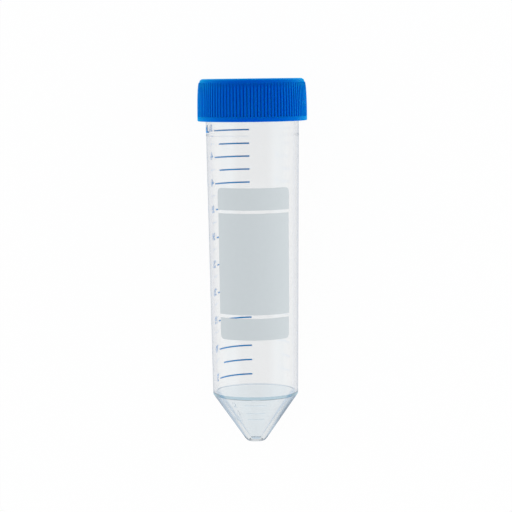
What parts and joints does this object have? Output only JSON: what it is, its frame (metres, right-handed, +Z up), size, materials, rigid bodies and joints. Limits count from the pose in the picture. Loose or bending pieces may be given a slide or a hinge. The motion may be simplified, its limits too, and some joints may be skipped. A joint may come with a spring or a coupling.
{
  "type": "50 ml conical tube",
  "caption": "Clear conical-bottom tube with a ribbed blue two-start screw cap, a pale writing panel in three fields and a printed volume scale, lying on its side.",
  "frame": {"origin": "on the floor under the middle of the tube as it lies", "axes": "+Y from the foot towards the cap, +Z up through the middle of the writing panel, +X to the right with the cap away from the reader"},
  "size_m": [0.0346, 0.1164, 0.0348],
  "materials": {
    "clear_body": "clear natural polypropylene, glossy, very slightly hazy",
    "blue_cap": "opaque bright blue polyethylene with a satin moulded skin",
    "soft_seal": "pale soft sealing rubber",
    "panel_ink": "matt pale grey ink that takes a pen",
    "scale_ink": "matt blue printing ink"
  },
  "bodies": {
    "tube": {"tube": "clear_body", "writing_panel": "panel_ink", "graduation_lines": "scale_ink", "graduation_numbers": "scale_ink"},
    "seal": {"seal_ring": "soft_seal"},
    "cap": {"cap": "blue_cap"}
  },
  "joints": [
    {"name": "cap_rise", "type": "slide", "parent": "tube", "child": "seal", "axis": [0, 0.9991, 0.0422], "range_m": [0, 0.012]},
    {"name": "cap_turn", "type": "hinge", "parent": "seal", "child": "cap", "pos_m": [0, 0.04984, 0.0175], "axis": [0, 0.9991, 0.0422], "range_deg": [0, 720]}
  ],
  "couplings": [
    {"joint": "cap_rise", "follows": "cap_turn", "m_per_rad": 0.00095492}
  ]
}
